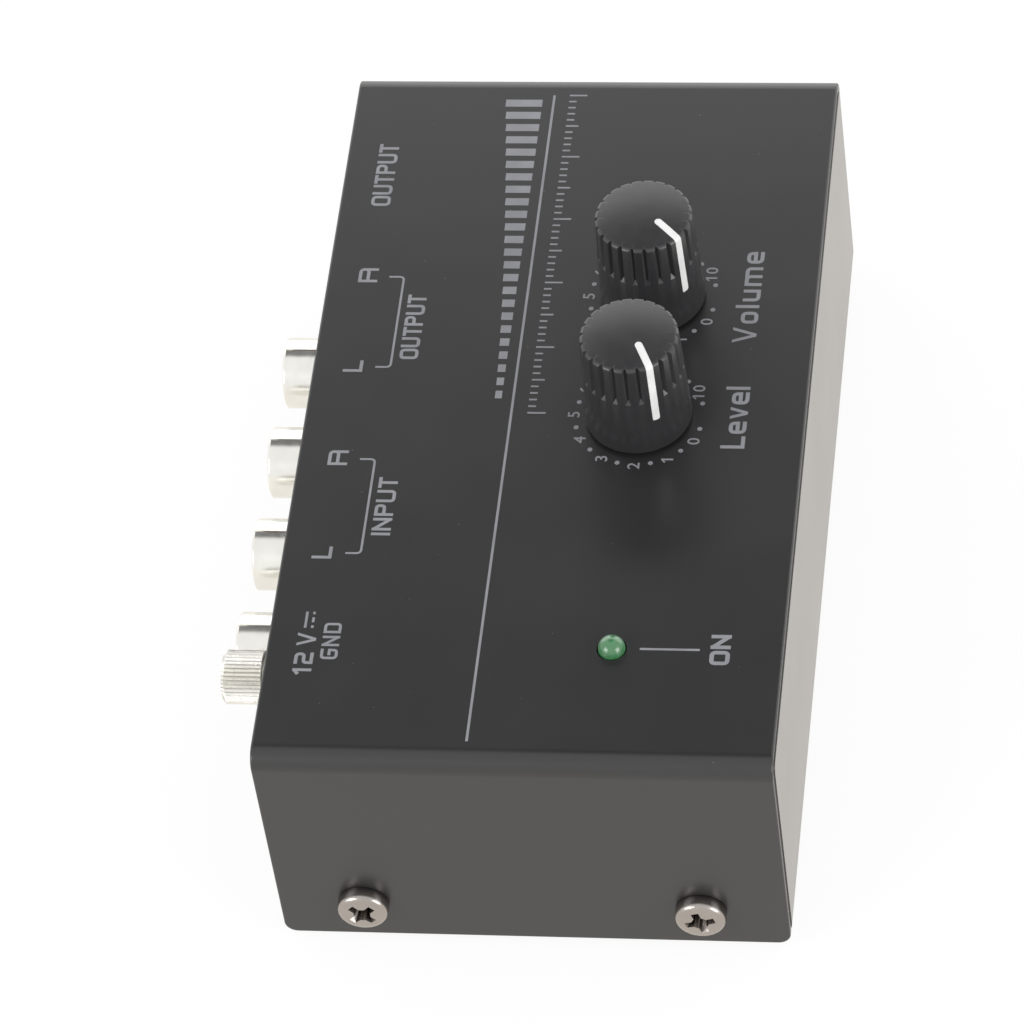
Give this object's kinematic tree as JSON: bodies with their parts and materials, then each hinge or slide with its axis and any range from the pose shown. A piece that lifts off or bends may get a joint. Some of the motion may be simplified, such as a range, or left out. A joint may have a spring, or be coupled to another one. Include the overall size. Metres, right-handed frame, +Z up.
{
  "type": "phono preamp",
  "caption": "Small black box with two fluted rotary knobs, a green power light on top, and a rear row of phono sockets with a ground terminal.",
  "frame": {"origin": "centre of the bounding box at its base, on the surface that the feet stand on", "axes": "+X along the long side, towards the quarter-inch socket's end; +Y to the rear, where the sockets are; +Z up"},
  "size_m": [0.1078, 0.0648, 0.0481],
  "materials": {
    "housing_paint": "satin black paint",
    "nickel": "nickel plate, semi-bright",
    "zinc_steel": "zinc plate",
    "tin": "tinned",
    "brass": "turned",
    "shaft_metal": "turned",
    "foot_rubber": "matt black",
    "board": "green solder mask",
    "component_black": "moulded, matt",
    "capacitor_sleeve": "shrunk sleeve",
    "film_red": "dipped",
    "resistor_blue": "lacquered",
    "lens_green": "diffusing tinted epoxy",
    "knob_plastic": "satin black",
    "pointer_white": "satin white",
    "liner_white": "moulded",
    "liner_red": "moulded",
    "wire_green": "insulated"
  },
  "bodies": {
    "housing": {"top_cover": "housing_paint", "chassis_tray": "housing_paint", "cover_screws": "nickel", "rubber_feet": "foot_rubber", "circuit_board": "board", "board_spacers": "brass", "board_screws": "zinc_steel", "amplifier_chips": "component_black", "electrolytic_capacitors": "capacitor_sleeve", "film_capacitors": "film_red", "resistors": "resistor_blue", "voltage_regulator": "component_black", "light_lens": "lens_green", "light_leads": "tin", "light_spacer": "component_black", "output_jack_body": "component_black", "output_jack_springs": "tin", "power_inlet_body": "component_black", "power_inlet_pin": "nickel", "power_inlet_spring": "tin", "ground_post": "nickel", "ground_lug": "tin", "ground_lock_nut": "nickel", "ground_wire": "wire_green", "level_pot_body": "component_black", "volume_pot_body": "component_black", "left_input_shell": "nickel", "left_input_liner": "liner_white", "left_input_contact": "brass", "left_input_socket_body": "component_black", "right_input_shell": "nickel", "right_input_liner": "liner_red", "right_input_contact": "brass", "right_input_socket_body": "component_black", "left_output_shell": "nickel", "left_output_liner": "liner_white", "left_output_contact": "brass", "left_output_socket_body": "component_black", "right_output_shell": "nickel", "right_output_liner": "liner_red", "right_output_contact": "brass", "right_output_socket_body": "component_black"},
    "level_control": {"level_knob": "knob_plastic", "level_pointer": "pointer_white", "level_pot_shaft": "shaft_metal"},
    "volume_control": {"volume_knob": "knob_plastic", "volume_pointer": "pointer_white", "volume_pot_shaft": "shaft_metal"},
    "terminal_washer": {"ground_washer": "nickel"},
    "terminal_nut": {"ground_thumb_nut": "nickel"}
  },
  "joints": [
    {"name": "level_turn", "type": "hinge", "parent": "housing", "child": "level_control", "pos_m": [-0.0017, -0.01325, 0.0338], "axis": [0, 0, -1], "range_deg": [-30, 270]},
    {"name": "volume_turn", "type": "hinge", "parent": "housing", "child": "volume_control", "pos_m": [0.0164, -0.01325, 0.0338], "axis": [0, 0, -1], "range_deg": [-9, 291]},
    {"name": "terminal_travel", "type": "slide", "parent": "housing", "child": "terminal_washer", "axis": [0, 1, 0], "range_m": [0, 0.0018]},
    {"name": "terminal_turn", "type": "hinge", "parent": "terminal_washer", "child": "terminal_nut", "pos_m": [-0.0354, 0.02612, 0.0272], "axis": [0, 1, 0], "range_deg": [0, 1080.1]}
  ],
  "couplings": [
    {"joint": "terminal_turn", "follows": "terminal_travel", "rad_per_m": 10472}
  ]
}
